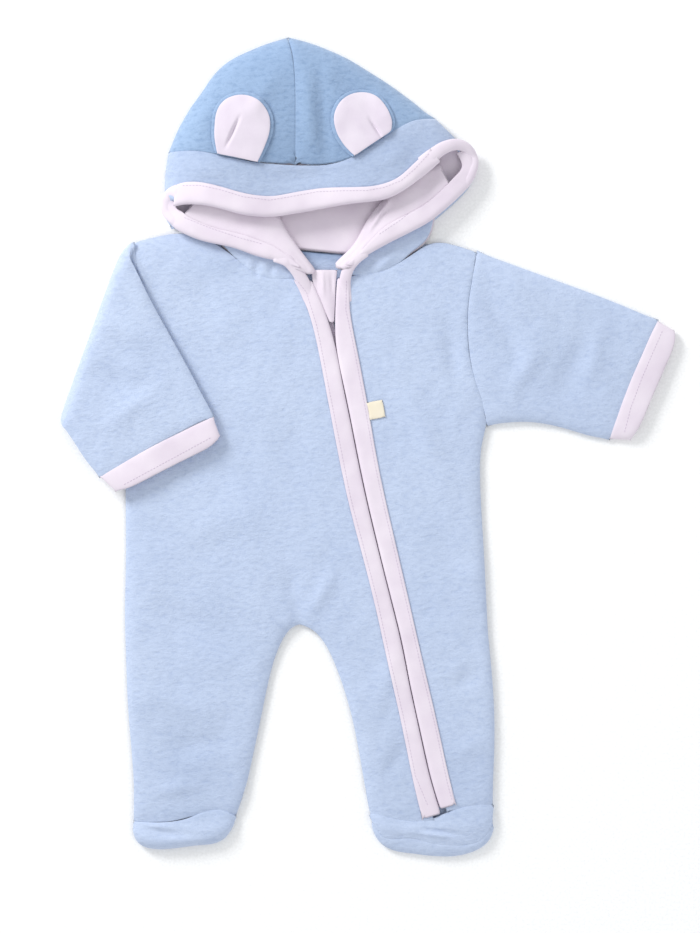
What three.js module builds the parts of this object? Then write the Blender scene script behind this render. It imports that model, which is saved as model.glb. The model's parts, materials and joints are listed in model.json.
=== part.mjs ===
// A baby's pramsuit of short-pile fleece, laid flat on its back: hooded and footed, with long sleeves,
// bear ears, and a zip that runs from the neck down one leg. The viewer's-left sleeve is folded over
// the front. Millimetres, +Z up, the cloth rests on z = 0, +Y runs from the feet to the hood.
// Each cut piece is a thin wall: a surface given by rows of points, thickened to both sides.
import * as THREE from "three";

// ---- driving sizes ----
const FLEECE = 2.0; // body cloth
const JERSEY = 1.0; // hood lining, binding, chin guard
const EAR_CLOTH = 1.6;
const TAPE = 0.6; // zip tape
const GAP = 0.4; // left between pieces sewn together
const EDGE_LIFT = 2.7; // middle of the top layer where it meets the back at a side seam
const EDGE_ROUND = 7; // how far in from a side seam the top layer is fully up
const TOP_LIFT = 3.2; // rise of the top layer over that distance
const CROWN_LIFT = 0.8; // slow further rise towards the middle of a panel
const CROWN_REACH = 40;
const FOOT_LIFT = 3.5; // extra fullness of the feet
const HOOD_LIFT = 19; // rise of the hood's crown over its back layer
const HOOD_ROUND = 42;
const HOOD_DIP = 5; // the hood sinks again towards its mouth
const FOLD_HEIGHT = 8.2; // height that the folded sleeve turns about
const ZIP_HALF_GAP = 0.9; // half the slit between the two zip bindings
const BINDING_WIDTH = 13.5;
const RIM_UNDER = 7;
const BINDING_UNDER = 9; // width of a binding's hidden leg
const LAYER = 0.3; // gap between two layers that lie on each other
const FOOT_GAP = 2.2; // the ankle seam, where the foot puffs up beside the leg
const ARMHOLE_CLEAR = 1.4; // the folded sleeve lifts here, so its seam stands off a little more
const SEAM_SHARE = 0.012; // share of a sleeve left clear at the armhole

// ---- outlines, [x, y] from the body's centre line and the toes ----
const SIDE_RIGHT = [
  [153.5, 40], [154, 60], [155, 80], [155.5, 103], [154.5, 130], [152, 160], [150, 180], [149, 200],
  [146, 260], [143.5, 298], [143.5, 330], [146, 345], [150, 352],
];
const SIDE_LEFT = [
  [-137, 27], [-137, 60], [-138.5, 80], [-142, 120], [-143.5, 160], [-144.5, 200], [-143.5, 240],
  [-144, 293], [-144, 330], [-146, 345], [-150, 352],
];
const CROTCH = [-3, 190];
const INSEAM_RIGHT = [
  [57, 32], [53, 50], [50, 68], [44, 102], [40, 120], [35, 136], [30, 150], [25, 162], [20, 172],
  [10, 184], CROTCH,
];
const INSEAM_LEFT = [
  [-56, 32], [-50, 48], [-45, 67], [-40, 92], [-35, 115], [-30, 140], [-25, 160], [-20, 172],
  [-12, 185], CROTCH,
];
const ANKLE_LEFT = [
  [-137, 27], [-110, 27], [-96, 29], [-85, 34], [-76, 38], [-66, 37], [-56, 32],
];
const ANKLE_RIGHT_INNER = [[57, 32], [70, 29], [85, 26], [100, 25], [107, 28]];
const ANKLE_RIGHT_OUTER = [[118, 35], [126, 38], [137, 39.5], [153.5, 40]];
// below the zip
const ANKLE_FOOT = [
  [57, 31], [70, 27.6], [85, 24.4], [98, 23.4], [112, 29], [126, 35], [137, 38], [153.5, 38.6],
];
const SHOULDER_LEFT = [[-139, 499], [-125, 503.5], [-103, 508], [-82, 511]];
const NECK_LEFT = [[-82, 511], [-68, 498], [-52, 482], [-38, 472], [-25, 470], [4.5, 470]];
const NECK_RIGHT = [
  [30.5, 472], [37, 473.5], [45, 472.5], [55, 472], [65, 473.5], [75, 477.5], [82, 482.5], [88, 487.5],
  [95, 494.5], [100, 502.5],
];
const SHOULDER_RIGHT = [[100, 502.5], [105, 502], [120, 499], [141, 492]];
const BACK_NECK = [
  [-82, 510.5], [-60, 503], [-40, 498.5], [0, 493.5], [40, 489.5], [70, 494.5], [100, 502.5],
];
const ARMHOLE_RIGHT = [
  [150, 352], [149, 362], [145, 372], [140, 385], [135, 405], [133.5, 420], [133.5, 450], [136, 465],
  [139, 478], [141, 492],
];
const ARMHOLE_LEFT = [
  [-150, 352], [-149, 362], [-145, 372], [-140, 385], [-135, 405], [-133.5, 435], [-134, 465], [-137, 485],
  [-139, 499],
];
// The slit between the zip's bindings, and the V that it opens into at the neck.
const ZIP_LINE = [
  [114, 31], [110, 42], [105, 58], [100, 80], [95, 105], [90, 125], [85, 150], [80, 178], [72, 208],
  [62.6, 246], [53.4, 284], [45, 323], [39, 355], [31.9, 388], [24, 430],
];
const ZIP_V_LEFT = [[9, 466], [7.5, 470]];
const ZIP_V_RIGHT = [[26, 445], [27, 460], [27.5, 472]];
const BINDING_LEFT_SEAM = [
  [98, 28], [90, 62], [80, 112], [70, 155], [58.5, 208], [47.6, 250], [37, 290], [20, 376], [13, 413],
  [9, 432], [1, 458], [-7, 469.5],
];
const BINDING_RIGHT_SEAM = [
  [125, 40], [120, 58], [110, 105], [100, 147], [86, 208], [77.5, 245], [69, 281], [61.4, 316], [52, 370],
  [43, 417.5], [37, 445], [37.5, 472],
];
// Sleeve as it lies flat, for the right arm; the left one is its mirror image.
const OVERARM = [[141, 492], [150, 489], [180, 478], [210, 467], [240, 456], [270, 444], [290, 435]];
const OVERARM_LEFT = [[140.4, 499], [152, 492], [180, 479], [210, 467], [240, 456], [270, 444], [290, 435]];
const UNDERARM = [
  [150, 352], [160, 353], [175, 355], [190, 354.5], [205, 352], [220, 348], [235, 343], [251, 341],
];
const CUFF_SEAM = [[290, 435], [282, 420], [275, 402], [268, 388], [262, 372], [255, 352], [251, 341]];
const CUFF_OVER = [[290, 435], [297, 431.5], [303, 427]];
const CUFF_UNDER = [[251, 341], [260, 339.5], [268, 340]];
const CUFF_END = [[303, 427], [305, 420], [300, 408], [290, 385], [280, 361], [275, 349], [268, 340]];
const FOLD_FROM = [-145, 500]; // outer edge of the fold in the left sleeve
const FOLD_TO = [-197, 357];
// Feet.
const TOES_LEFT = [
  [-137, 20], [-136, 14], [-133, 8.5], [-120, 5], [-110, 5.5], [-100, 7], [-85, 9], [-70, 10],
    [-64, 15], [-59, 24],
];
const TOES_RIGHT = [
  [58.5, 23], [61, 15], [65, 9], [72, 4], [80, 2], [95, 1], [105, -0.5], [120, -1.5], [130, 0], [140, 3],
  [148, 8], [152, 13], [154, 21],
];
const TOE_SEAM_RIGHT = [
  [60, 25], [66, 14], [72, 12], [80, 14], [85, 16], [92, 14], [98, 11], [105, 9], [115, 7.5], [133, 7],
  [144, 10], [152, 22],
];
const HEEL_Y = 50;
// Hood.
const HOOD_LEFT = [[-107, 513], [-113, 522], [-114.5, 531], [-111, 545], [-110, 560], [-108, 573]];
const HOOD_CROWN_LEFT = [[-108, 573], [-100, 592], [-90, 609]];
const HOOD_TOP_LEFT = [
  [-90, 609], [-80, 623], [-70, 638], [-60, 647], [-50, 653], [-40, 656], [-25, 663], [-12, 666],
];
const HOOD_TOP_RIGHT = [
  [-12, 666], [0, 664], [10, 660], [20, 656], [32, 651], [50, 640], [70, 627], [90, 612],
];
const HOOD_CROWN_RIGHT = [[107, 600], [100, 604], [90, 612]];
const HOOD_RIGHT = [
  [102, 516], [125, 535], [139, 550], [141, 563], [138, 575], [124, 583], [115, 592], [107, 600],
];
const HOOD_NECK = [
  [-107, 513], [-82, 513], [-60, 505.5], [-40, 501], [0, 496], [40, 492], [70, 497.5], [102, 516],
];
const CENTRE_SEAM = [[-6, 561], [-6, 630], [-8, 650], [-12, 666]];
const EAR_SEAM_LEFT = [[-108, 573], [-85, 573], [-70, 569.5], [-35, 563], [-20, 561.5], [-6, 561]];
const EAR_SEAM_RIGHT = [[-6, 561], [22, 561], [43, 568], [60, 580], [80, 593], [90, 598], [107, 600]];
// The hood's face edge: [fold x, fold y, seam x, seam y] of the binding on the upper rim.
const RIM = [
  [-105, 529, -103, 546], [-98, 530.5, -96, 548], [-85, 530.5, -84, 548], [-70, 528, -68, 544.5],
  [-50, 522, -48, 538.5], [-28, 520, -27, 536], [-10, 522.5, -12, 538.5], [13, 526.5, 12, 543],
  [35, 530.5, 33, 543.5], [55, 532.5, 52, 543.5], [70, 535, 66, 546], [85, 543.5, 79, 551.5],
  [100, 555, 90, 562], [112, 565, 104, 575],
];
// The hood's near walls, from the zip to the corner of the mouth. Each goes from the neck seam up to
// where it rolls over, and back to its free bound edge: [neck, roll, free edge, height of that edge].
const WALL_LEFT = [
  [-8, 471.5, 5, 477, -11, 482.5, 10.8],
  [-28, 470.8, -6, 490, -19, 485, 10.8],
  [-45, 479, -18, 507, -38, 489, 11],
  [-63, 496, -28, 524, -58, 496.5, 11],
  [-73, 509, -58, 531, -83, 501.5, 10.8],
  [-85, 514.5, -86, 535, -103, 510, 10.4],
];
const CORNER_LEFT = [
  [0, 0, -95, 531, -112, 520.5, 7.6],
  [0, 0, -96, 532, -115, 530, 6.5],
  [0, 0, -97, 534, -113.5, 539, 6.3],
];
const WALL_RIGHT = [
  [38, 474.8, 31, 481, 42.5, 481.5, 10.8],
  [55, 474.4, 46, 495, 50.5, 488.5, 10.6],
  [75, 481.5, 57, 516, 70, 499.5, 11],
  [88, 492.5, 74, 536, 90, 509.5, 11.2],
  [99, 501, 95, 551, 105, 518, 11],
  [104, 511, 112, 559, 125, 535, 10],
];
const CORNER_RIGHT = [
  [0, 0, 120, 563, 139, 550, 7.8],
  [0, 0, 121, 566, 142, 563, 6.5],
  [0, 0, 119, 569, 135, 577, 6.3],
];
const WALL_LIFT = 6.4; // middle of the wall's lower run
const WALL_ROLL = 1.35; // radius that it rolls over with
// Ears: outline of the white face from its base; the blue back is this much larger all round.
const EAR_LEFT = {
  base: [[-69, 571], [-37, 564.5]],
  left: [[-69, 571], [-71, 585], [-70, 600]],
  tip: [[-70, 600], [-67, 610], [-60, 616.5], [-50, 619], [-40, 617], [-32, 611], [-27, 602]],
  right: [[-37, 564.5], [-30, 580], [-26.5, 592], [-27, 602]],
};
const EAR_RIGHT = {
  base: [[42.5, 569.5], [71.5, 589]],
  left: [[42.5, 569.5], [34, 578], [27, 590], [25, 600]],
  tip: [[25, 600], [27, 608], [32, 615], [40, 620], [47, 621], [57, 619], [64, 613], [69, 605]],
  right: [[71.5, 589], [72, 597], [69, 605]],
};
const EAR_MARGIN = 3;
// Small parts.
const LABEL = { corner: [52.5, 368.5], along: [12, 2.4], down: [2.4, -13] };
const GUARD = { height: 6.6, fullness: 0.9, left: [[24, 431], [13, 455], [8, 467], [7, 477]],
  right: [[25, 431], [26.5, 455], [27, 468], [28.5, 477]] };
const CHAIN_WIDTH = 3.6;
const TAPE_WIDTH = 11;
const ZIP_ROWS = [38, 60, 100, 150, 200, 250, 300, 350, 385, 430, 446, 465];
const SLIDER = { at: [22, 449], width: 5.4, length: 9, thick: 1.8 };

// ---- curves ----
// A curve through points, as a function of the share of its length.
function through(points) {
  const path = new THREE.CatmullRomCurve3(points.map(([x, y]) => new THREE.Vector3(x, y, 0)), false,
    "centripetal");
  path.arcLengthDivisions = 400;
  return (t) => {
    const p = path.getPointAt(Math.min(1, Math.max(0, t)));
    return [p.x, p.y];
  };
}

// The same along straight stretches, which keeps sharp corners.
function straight(points) {
  const path = new THREE.CurvePath();
  for (let i = 1; i < points.length; i++) {
    path.add(new THREE.LineCurve3(new THREE.Vector3(...points[i - 1], 0),
      new THREE.Vector3(...points[i], 0)));
  }
  return (t) => {
    const p = path.getPointAt(Math.min(1, Math.max(0, t)));
    return [p.x, p.y];
  };
}

const part = (curve, from, to) => (t) => curve(from + (to - from) * t);
const shifted = (curve, dx, dy) => (t) => [curve(t)[0] + dx, curve(t)[1] + dy];
const samples = (curve, count = 120) => Array.from({ length: count + 1 }, (_, i) => curve(i / count));

// x of a curve at a height y, for curves that run steadily up.
function xAt(points) {
  const line = samples(through(points), 240);
  return (y) => {
    let i = 1;
    while (i < line.length - 1 && line[i][1] < y) i++;
    const [a, b] = [line[i - 1], line[i]];
    const share = (y - a[1]) / (b[1] - a[1] || 1);
    return a[0] + (b[0] - a[0]) * Math.min(1, Math.max(0, share));
  };
}

// Shares from 0 to 1 that crowd together towards the ends that are rounded.
function shares(count, atStart = false, atEnd = false) {
  return Array.from({ length: count + 1 }, (_, i) => {
    const t = i / count;
    if (atStart && atEnd) return t < 0.5 ? 2 * t * t : 1 - 2 * (1 - t) * (1 - t);
    if (atStart) return t ** 1.8;
    return atEnd ? 1 - (1 - t) ** 1.8 : t;
  });
}

const mix = (a, b, t) => a.map((v, i) => v + (b[i] - v) * t);

// A patch between four curves that share their corners (a Coons patch), as rows of [x, y].
function patch(bottom, top, left, right, across, along) {
  return along.map((v) =>
    across.map((u) =>
      [0, 1].map(
        (i) =>
          (1 - v) * bottom(u)[i] + v * top(u)[i] + (1 - u) * left(v)[i] + u * right(v)[i] -
          (1 - u) * (1 - v) * bottom(0)[i] - u * (1 - v) * bottom(1)[i] - (1 - u) * v * top(0)[i] - u * v * top(1)[i],
      ),
    ),
  );
}

// ---- heights ----
const mirror = (points) => points.map(([x, y]) => [-x, y]);
const GARMENT_EDGES = [
  SIDE_RIGHT, SIDE_LEFT, INSEAM_RIGHT, INSEAM_LEFT, SHOULDER_LEFT, SHOULDER_RIGHT, OVERARM, UNDERARM,
  mirror(OVERARM_LEFT), mirror(UNDERARM), CUFF_OVER, CUFF_UNDER, mirror(CUFF_OVER), mirror(CUFF_UNDER),
  TOES_LEFT, TOES_RIGHT, [[-137, 20], [-137, 27]], [[154, 21], [153.5, 40]], [[58.5, 23], [57, 32]],
    [[-59, 24], [-56, 32]],
].map((points) => samples(through(points), 40));
const HOOD_EDGES = [
  HOOD_LEFT, HOOD_CROWN_LEFT, HOOD_TOP_LEFT, HOOD_TOP_RIGHT, HOOD_CROWN_RIGHT, HOOD_RIGHT,
].map((points) => samples(through(points), 40));

function distanceTo(lines, x, y) {
  let best = Infinity;
  for (const line of lines) {
    for (let i = 1; i < line.length; i++) {
      const [ax, ay] = line[i - 1];
      const [dx, dy] = [line[i][0] - ax, line[i][1] - ay];
      const t = Math.min(1, Math.max(0, ((x - ax) * dx + (y - ay) * dy) / (dx * dx + dy * dy || 1)));
      best = Math.min(best, Math.hypot(x - ax - t * dx, y - ay - t * dy));
    }
  }
  return best;
}

const quarterRound = (s) => (s >= 1 ? 1 : Math.sqrt(1 - (1 - s) ** 2));
const ease = (s) => Math.min(1, Math.max(0, s)) ** 2 * (3 - 2 * Math.min(1, Math.max(0, s)));

// Middle of the garment's top layer.
function topHeight(x, y) {
  const d = distanceTo(GARMENT_EDGES, x, y);
  return EDGE_LIFT + TOP_LIFT * quarterRound(d / EDGE_ROUND) + CROWN_LIFT * (1 - Math.exp(-d / CROWN_REACH));
}

// Middle of a sleeve's lower layer, which turns up into its fold or seam.
const lowHeight = (x, y) => {
  const turn = quarterRound(distanceTo(GARMENT_EDGES, x, y) / 2.5);
  return FLEECE / 2 + (EDGE_LIFT - FLEECE / 2) * (1 - turn);
};

// Middle of the hood's upper layer, with one soft fold to the right of the centre seam.
function hoodHeight(x, y) {
  const d = distanceTo(HOOD_EDGES, x, y);
  const fold = 1.6 * Math.exp(-(((x - 14) / 7) ** 2)) * ease((d - 8) / 20) * ease((y - 556) / 14);
  return EDGE_LIFT + HOOD_LIFT * quarterRound(d / HOOD_ROUND) - HOOD_DIP * ease((d - 50) / 60) + fold;
}

const raise = (rows, height) => rows.map((row) => row.map(([x, y]) => [x, y, height(x, y)]));

// Rows moved out from their surface by a distance, along the height field's normal.
function offset(rows, height, distance) {
  const step = 0.5;
  return rows.map((row) =>
    row.map(([x, y]) => {
      const slopeX = (height(x + step, y) - height(x - step, y)) / (2 * step);
      const slopeY = (height(x, y + step) - height(x, y - step)) / (2 * step);
      const n = new THREE.Vector3(-slopeX, -slopeY, 1).normalize().multiplyScalar(distance);
      return [x + n.x, y + n.y, height(x, y) + n.z];
    }),
  );
}

// ---- cloth walls ----
// Thickens grids of points, which may share an edge, into one closed wall. ring joins each row's ends.
function wall(grids, thickness, { ring = false, floor = 0 } = {}) {
  const points = [];
  const known = new Map();
  const indexOf = (p) => {
    const key = p.map((v) => Math.round(v * 2000)).join();
    if (!known.has(key)) {
      known.set(key, points.length);
      points.push(new THREE.Vector3(...p));
    }
    return known.get(key);
  };
  const faces = [];
  for (const rows of grids) {
    const index = rows.map((row) => row.map(indexOf));
    const columns = ring ? rows[0].length : rows[0].length - 1;
    for (let i = 0; i + 1 < rows.length; i++) {
      for (let j = 0; j < columns; j++) {
        const k = (j + 1) % rows[0].length;
        const [a, b, c, d] = [index[i][j], index[i][k], index[i + 1][k], index[i + 1][j]];
        const short = points[a].distanceTo(points[c]) < points[b].distanceTo(points[d]);
        faces.push(...(short ? [[a, b, c], [a, c, d]] : [[a, b, d], [b, c, d]]));
      }
    }
  }
  const solid = faces.filter(([a, b, c]) => a !== b && b !== c && a !== c);
  const normals = points.map(() => new THREE.Vector3());
  for (const [a, b, c] of solid) {
    const normal = points[b].clone().sub(points[a]).cross(points[c].clone().sub(points[a]));
    for (const v of [a, b, c]) normals[v].add(normal);
  }
  const position = [];
  for (const side of [1, -1]) {
    points.forEach((p, i) => {
      const q = normals[i].clone().normalize().multiplyScalar((side * thickness) / 2).add(p);
      position.push(q.x, q.y, Math.max(floor, q.z));
    });
  }
  const under = points.length;
  const open = new Set(solid.flatMap(([a, b, c]) => [`${a},${b}`, `${b},${c}`, `${c},${a}`]));
  const triangles = [];
  for (const [a, b, c] of solid) {
    triangles.push([a, b, c], [c + under, b + under, a + under]);
    for (const [p, q] of [[a, b], [b, c], [c, a]]) {
      if (!open.has(`${q},${p}`)) triangles.push([q, p, p + under], [q, p + under, q + under]);
    }
  }
  const at = (i) => new THREE.Vector3(...position.slice(3 * i, 3 * i + 3));
  const volume = triangles.reduce((sum, [a, b, c]) => sum + at(a).dot(at(b).cross(at(c))), 0);
  if (volume < 0) triangles.forEach((t) => t.reverse());
  const geometry = new THREE.BufferGeometry();
  geometry.setAttribute("position", new THREE.Float32BufferAttribute(position, 3));
  geometry.setIndex(triangles.flat());
  geometry.computeVertexNormals();
  return geometry;
}

// ---- materials and the assembly ----
const material = (color, roughness, metalness = 0) => new THREE.MeshStandardMaterial({ color, roughness,
  metalness });
const fleece = material("#b8cbe8", 0.95);
const fleeceDeep = material("#9db9dc", 0.95);
const jersey = material("#efe6f0", 0.85);
const tapeCloth = material("#cfc9d6", 0.8);
const nylon = material("#a99fae", 0.5);
const paintedMetal = material("#dcd6e0", 0.35, 0.5);
const labelCloth = material("#f3efd8", 0.8);

const pramsuit = new THREE.Group();
pramsuit.name = "pramsuit";

function add(name, geometry, finish) {
  const mesh = new THREE.Mesh(geometry, finish.clone());
  mesh.name = name;
  pramsuit.add(mesh);
  return mesh;
}

// ---- front and back ----
const zipEdge = {
  left: xAt([...ZIP_LINE, ...ZIP_V_LEFT]),
  right: xAt([...ZIP_LINE, ...ZIP_V_RIGHT]),
};
const EDGE_INSET = ZIP_HALF_GAP + JERSEY + LAYER + FLEECE / 2 + 0.2; // the cloth stops inside its binding
const zipCloth = {
  left: (y) => zipEdge.left(y) - EDGE_INSET,
  right: (y) => zipEdge.right(y) + EDGE_INSET + GAP * 2,
};
const side = { left: xAt(SIDE_LEFT), right: xAt(SIDE_RIGHT) };
const inseam = { left: xAt(INSEAM_LEFT), right: xAt(INSEAM_RIGHT) };
const LEG_ROWS = [60, 85, 110, 135, 155, 170, 180, 186, CROTCH[1]];
const TRUNK_ROWS = [CROTCH[1], 205, 225, 250, 280, 310, 335, 352];
const CHEST = TRUNK_ROWS[TRUNK_ROWS.length - 1];

// Straight rows at heights ys between two edges.
const rowsBetween = (ys, from, to, across) => ys.map((y) => across.map((u) => [from(y) + (to(y) - from(y)) * u, y]));

// Rows from a curved lower edge up to a straight row.
function rowsFrom(curve, row, count) {
  const ends = [row[0][0], row[row.length - 1][0]];
  const share = row.map(([x]) => (x - ends[0]) / (ends[1] - ends[0]));
  return shares(count).slice(0, -1).map((v) => row.map((p, j) => mix(curve(share[j]), p, v))).concat([row]);
}

// The chest, from a straight row up to the shoulder and neck.
function chest(row, top, left, right, count) {
  const [start, end] = [row[0], row[row.length - 1]];
  const across = row.map(([x]) => (x - start[0]) / (end[0] - start[0]));
  const rows = patch((u) => mix(start, end, u), top, left, right, across, shares(count));
  rows[0] = row;
  return rows;
}

function legRows(from, to, ankle, across) {
  const leg = rowsBetween(LEG_ROWS, from, to, across);
  return [...rowsFrom(through(ankle), leg[0], 3), ...leg.slice(1)];
}

const nearLeg = shares(7, true, true);
const innerStrip = shares(4, true);
const outerStrip = shares(6, false, true);

{
  const leftLeg = legRows(side.left, inseam.left, ANKLE_LEFT, nearLeg);
  const strip = legRows(inseam.right, zipCloth.left, ANKLE_RIGHT_INNER, innerStrip);
  const centre = () => CROTCH[0];
  const trunkLeft = rowsBetween(TRUNK_ROWS, side.left, centre, nearLeg);
  const trunkRight = rowsBetween(TRUNK_ROWS, centre, zipCloth.left, innerStrip);
  const row = [...trunkLeft.at(-1), ...trunkRight.at(-1).slice(1)];
  const zipSide = (v) => {
    const y = CHEST + (NECK_LEFT.at(-1)[1] - CHEST) * v;
    return [zipCloth.left(y), y];
  };
  const top = straight([...SHOULDER_LEFT, ...NECK_LEFT.slice(1, -1), zipSide(1)]);
  const upper = chest(row, top, through(ARMHOLE_LEFT), zipSide, 9);
  const grids = [leftLeg, strip, trunkLeft, trunkRight, upper].map((rows) => raise(rows, topHeight));
  add("front_left", wall(grids, FLEECE, { floor: FLEECE + LAYER }), fleece);
}
{
  const leg = rowsBetween([...LEG_ROWS, ...TRUNK_ROWS.slice(1)], zipCloth.right, side.right, outerStrip);
  const zipSide = (v) => {
    const y = CHEST + (NECK_RIGHT[0][1] - CHEST) * v;
    return [zipCloth.right(y), y];
  };
  const top = straight([zipSide(1), ...NECK_RIGHT.slice(1), ...SHOULDER_RIGHT.slice(1)]);
  const upper = chest(leg.at(-1), top, zipSide, through(ARMHOLE_RIGHT), 9);
  const lower = rowsFrom(through(ANKLE_RIGHT_OUTER), leg[0], 2);
  const rows = [...lower, ...leg.slice(1), ...upper.slice(1)];
  add("front_right", wall([raise(rows, topHeight)], FLEECE, { floor: FLEECE + LAYER }), fleece);
}
{
  const flat = () => FLEECE / 2;
  const centre = () => CROTCH[0];
  const lowest = [HEEL_Y, ...LEG_ROWS];
  const across = shares(4);
  const legs = [
    rowsBetween(lowest, side.left, inseam.left, across),
    rowsBetween(lowest, inseam.right, side.right, across),
  ];
  const trunk = [
    rowsBetween(TRUNK_ROWS, side.left, centre, across),
    rowsBetween(TRUNK_ROWS, centre, side.right, across),
  ];
  const row = [...trunk[0].at(-1), ...trunk[1].at(-1).slice(1)];
  const top = straight([...SHOULDER_LEFT, ...BACK_NECK.slice(1), ...SHOULDER_RIGHT.slice(1)]);
  const upper = chest(row, top, through(ARMHOLE_LEFT), through(ARMHOLE_RIGHT), 6);
  const grids = [...legs, ...trunk, upper].map((rows) => raise(rows, flat));
  add("back", wall(grids, FLEECE), fleece);
}

// ---- sleeves ----
// Turns what lies beyond the fold line over, about a level axis above the line.
const foldAxis = new THREE.Vector2(FOLD_TO[0] - FOLD_FROM[0], FOLD_TO[1] - FOLD_FROM[1]).normalize();
const foldIn = new THREE.Vector2(-foldAxis.y, foldAxis.x); // towards the body
const foldStart = [FOLD_FROM[0] + foldIn.x * FOLD_HEIGHT, FOLD_FROM[1] + foldIn.y * FOLD_HEIGHT];
const FOLD_RADIUS = FOLD_HEIGHT - (EDGE_LIFT + TOP_LIFT) * 0.6; // of the sleeve's middle, as it turns
const beyondFold = (x, y) => -((x - foldStart[0]) * foldIn.x + (y - foldStart[1]) * foldIn.y);
function folded([x, y, z]) {
  const beyond = beyondFold(x, y);
  if (beyond <= 0) return [x, y, z];
  const turn = Math.min(Math.PI, beyond / FOLD_RADIUS);
  const past = beyond - turn * FOLD_RADIUS;
  const out = (FOLD_HEIGHT - z) * Math.sin(turn) - past - beyond;
  return [x - foldIn.x * out, y - foldIn.y * out, FOLD_HEIGHT - (FOLD_HEIGHT - z) * Math.cos(turn)];
}

// The share along a mirrored edge of the left sleeve that lies a distance beyond the fold's start.
function shareBeyond(curve, distance) {
  let [low, high] = [0, 1];
  for (let i = 0; i < 30; i++) {
    const t = (low + high) / 2;
    const [x, y] = curve(t);
    if (beyondFold(-x, y) < distance) low = t;
    else high = t;
  }
  return high;
}

// Rows of the left sleeve, mirrored: from the armhole to the fold, through the fold, and on to the cuff.
function foldedSleeveRows(armhole, over, under, across) {
  const FOLD_STEPS = 8;
  const turnRows = Array.from({ length: FOLD_STEPS + 1 }, (_, i) => {
    const distance = (FOLD_RADIUS * Math.PI * i) / FOLD_STEPS;
    const [from, to] = [over(shareBeyond(over, distance)), under(shareBeyond(under, distance))];
    return across.map((u) => mix(from, to, u));
  });
  const asCurve = (row) => (u) => mix(row[0], row.at(-1), u);
  const first = shareBeyond(under, 0);
  const [lastOver, lastUnder] = [over, under].map((curve) => shareBeyond(curve, FOLD_RADIUS * Math.PI));
  const inner = patch(
    armhole, asCurve(turnRows[0]), () => over(0), part(under, 0, first), across, [0.02, 0.3, 0.6],
  );
  const outer = patch(
    asCurve(turnRows[FOLD_STEPS]), through(CUFF_SEAM), part(over, lastOver, 1),
      part(under, lastUnder, 1), across,
    [0.25, 0.5, 0.75, 0.995],
  );
  return [...inner, ...turnRows, ...outer];
}

// A flattened tube over a patch: its top layer from one edge to the other, and back underneath.
function tube(rows) {
  return rows.map((row) => [
    ...row.map(([x, y]) => [x, y, topHeight(x, y)]),
    ...row.slice(1, -1).reverse().map(([x, y]) => [x, y, lowHeight(x, y)]),
  ]);
}

for (const [name, sign, over, arm] of [
  ["right", 1, OVERARM, ARMHOLE_RIGHT],
  ["left", -1, OVERARM_LEFT, mirror(ARMHOLE_LEFT)],
]) {
  const place = (rows) => rows.map((row) => row.map(([x, y, z]) => (sign > 0 ? [x, y,
    z] : folded([-x, y, z]))));
  const across = shares(8, true, true);
  const armhole = through([...arm].reverse());
  const along = shares(7).map((v) => SEAM_SHARE + v * (0.998 - SEAM_SHARE));
  const sleeve =
    sign > 0
      ? patch(armhole, through(CUFF_SEAM), through(over), through(UNDERARM), across, along)
      : foldedSleeveRows(shifted(armhole, ARMHOLE_CLEAR, 0), through(over), through(UNDERARM), across);
  add(`sleeve_${name}`, wall([place(tube(sleeve))], FLEECE, { ring: true }), fleece);
  const cuff = patch(through(CUFF_SEAM), through(CUFF_END), through(CUFF_OVER), through(CUFF_UNDER),
    across, [0.02, 0.5, 1]);
  add(`cuff_${name}`, wall([place(tube(cuff))], FLEECE, { ring: true }), jersey);
}

// ---- feet ----
const bulge = (rows, height, extra) =>
  rows.map((row, i) =>
    row.map(([x, y], j) => {
      const v = i / (rows.length - 1);
      const u = j / (row.length - 1);
      return [x, y, height(x, y) + extra * 4 * u * (1 - u) * Math.sin(Math.PI * v) ** 2];
    }),
  );

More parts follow.
